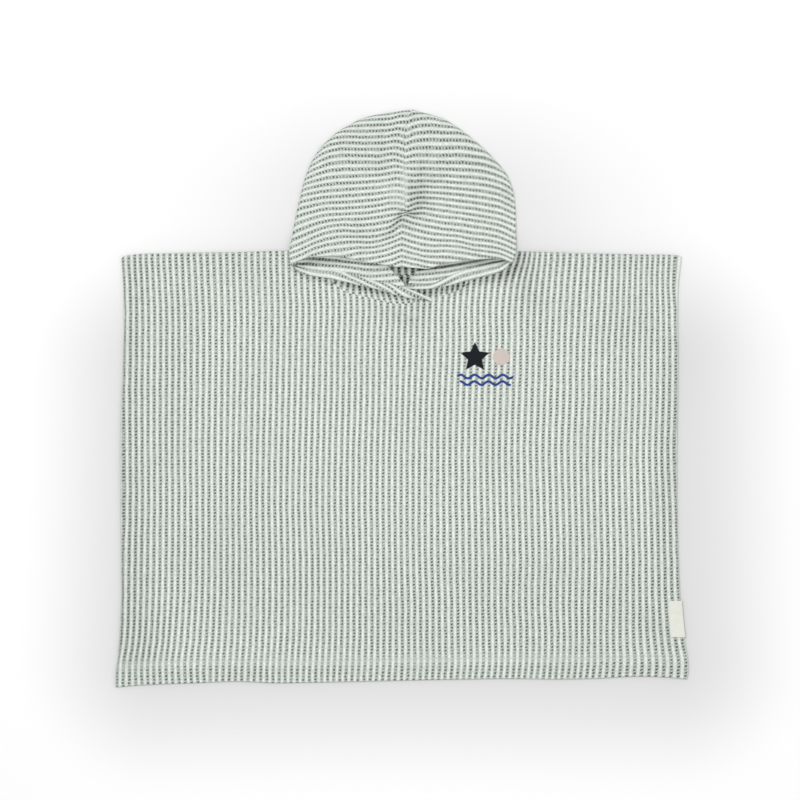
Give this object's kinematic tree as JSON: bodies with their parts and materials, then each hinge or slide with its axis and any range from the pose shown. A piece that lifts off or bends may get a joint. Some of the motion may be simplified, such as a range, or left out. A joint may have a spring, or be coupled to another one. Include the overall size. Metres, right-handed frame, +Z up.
{
  "type": "hooded bath poncho",
  "caption": "Hooded bath poncho for a small child in ribbed waffle cotton, laid flat, with a centre-seamed hood that crosses over at the neck and a bare side label.",
  "frame": {"origin": "on the ground under the middle of the laid-out garment", "axes": "+Z up from the ground through the cloth, +Y from the hem towards the hood, +X towards the wearer's left side"},
  "size_m": [0.6123, 0.6179, 0.0105],
  "materials": {
    "cotton": "matt waffle cotton, white ribs and grey-green stripes",
    "label_tape": "plain cream woven tape"
  },
  "bodies": {
    "root": {"back": "cotton", "front": "cotton", "hood_left": "cotton", "hood_right": "cotton", "label": "label_tape"}
  },
  "joints": []
}
